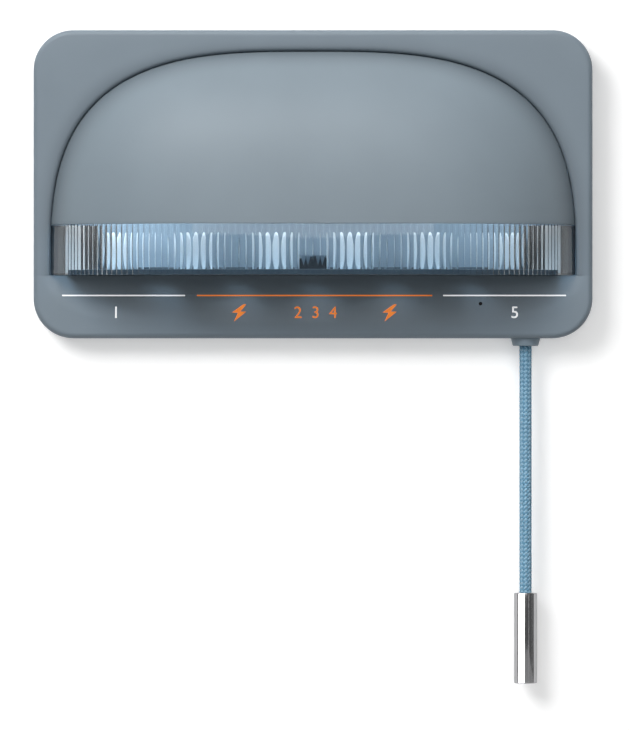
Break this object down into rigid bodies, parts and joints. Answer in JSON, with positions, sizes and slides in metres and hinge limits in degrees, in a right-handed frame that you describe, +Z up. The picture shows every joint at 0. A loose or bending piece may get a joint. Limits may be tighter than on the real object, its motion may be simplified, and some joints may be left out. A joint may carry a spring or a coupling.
{
  "type": "toothbrush sterilizer",
  "caption": "Wall-hung toothbrush sterilizer with a domed cover, a ribbed clear window over brush slots, and a weighted pull cord that works its switch.",
  "frame": {"origin": "on the wall side of the adhesive pad, level with the middle of the body and centred on its width", "axes": "+X to the user's right, +Y into the wall, +Z up"},
  "size_m": [0.214, 0.048, 0.2503],
  "materials": {
    "plate_steel": "plain pressed steel",
    "adhesive_foam": "foam tape",
    "body_plastic": "fine satin",
    "seal_rubber": "soft",
    "cover_plastic": "fine satin",
    "window_clear": "clear with vertical ribs inside",
    "liner_plastic": "smooth",
    "rack_plastic": "smooth",
    "lip_rubber": "soft",
    "circuit_board": "solder mask",
    "lamp_package": "ceramic",
    "sensor_dark": "dark filter",
    "component_dark": "moulded",
    "battery_wrap": "foil pouch",
    "wire_red": "wire insulation",
    "wire_white": "wire insulation",
    "socket_metal": "plated shell",
    "flap_rubber": "soft",
    "light_pipe": "smoked",
    "gland_plastic": "fine satin",
    "cord_fabric": "braided",
    "slider_plastic": "moulded",
    "spring_steel": "wire",
    "plunger_plastic": "moulded",
    "weight_chrome": "polished",
    "screw_steel": "zinc plated"
  },
  "bodies": {
    "wall_mount": {"wall_plate": "plate_steel", "adhesive_pad": "adhesive_foam"},
    "unit": {"rear_housing": "body_plastic", "front_frame": "body_plastic", "housing_gasket": "seal_rubber", "dome_cover": "cover_plastic", "ribbed_window": "window_clear", "chamber_liner": "liner_plastic", "brush_rack": "rack_plastic", "slot_lips": "lip_rubber", "uv_lamp_board": "circuit_board", "uv_lamps": "lamp_package", "sensor_window": "sensor_dark", "presence_sensor": "component_dark", "main_circuit_board": "circuit_board", "board_components": "component_dark", "battery": "battery_wrap", "battery_tape": "adhesive_foam", "battery_leads": "wire_red", "lamp_leads": "wire_white", "charging_socket": "socket_metal", "indicator_light_pipe": "light_pipe", "cord_gland": "gland_plastic", "return_spring": "spring_steel", "micro_switch": "component_dark", "housing_screws": "screw_steel", "chamber_screws": "screw_steel", "board_screws": "screw_steel"},
    "charging_flap": {"port_flap": "flap_rubber"},
    "pull_carrier": {"switch_slider": "slider_plastic", "cord_knot": "cord_fabric"},
    "hanging_cord": {"pull_cord": "cord_fabric", "pull_weight": "weight_chrome"},
    "plunger": {"switch_plunger": "plunger_plastic"}
  },
  "joints": [
    {"name": "unit_lift", "type": "slide", "parent": "wall_mount", "child": "unit", "axis": [0, 0, 1], "range_m": [0, 0.007]},
    {"name": "flap_hinge", "type": "hinge", "parent": "unit", "child": "charging_flap", "pos_m": [0.03, -0.0054, -0.059], "axis": [1, 0, 0], "range_deg": [0, 100]},
    {"name": "pull_slide", "type": "slide", "parent": "unit", "child": "pull_carrier", "axis": [0, 0, -1], "range_m": [0, 0.005], "stiffness_N_per_m": 300, "springref_m": -0.004, "deforming": ["return_spring"]},
    {"name": "cord_swing", "type": "hinge", "parent": "pull_carrier", "child": "hanging_cord", "pos_m": [0.0815, -0.00925, -0.0624], "axis": [0, 1, 0], "range_deg": [-35, 35]},
    {"name": "plunger_press", "type": "slide", "parent": "unit", "child": "plunger", "axis": [-1, 0, 0], "range_m": [0, 0.0005]}
  ],
  "couplings": [
    {"joint": "plunger_press", "follows": "pull_slide", "ratio": 0.1}
  ]
}
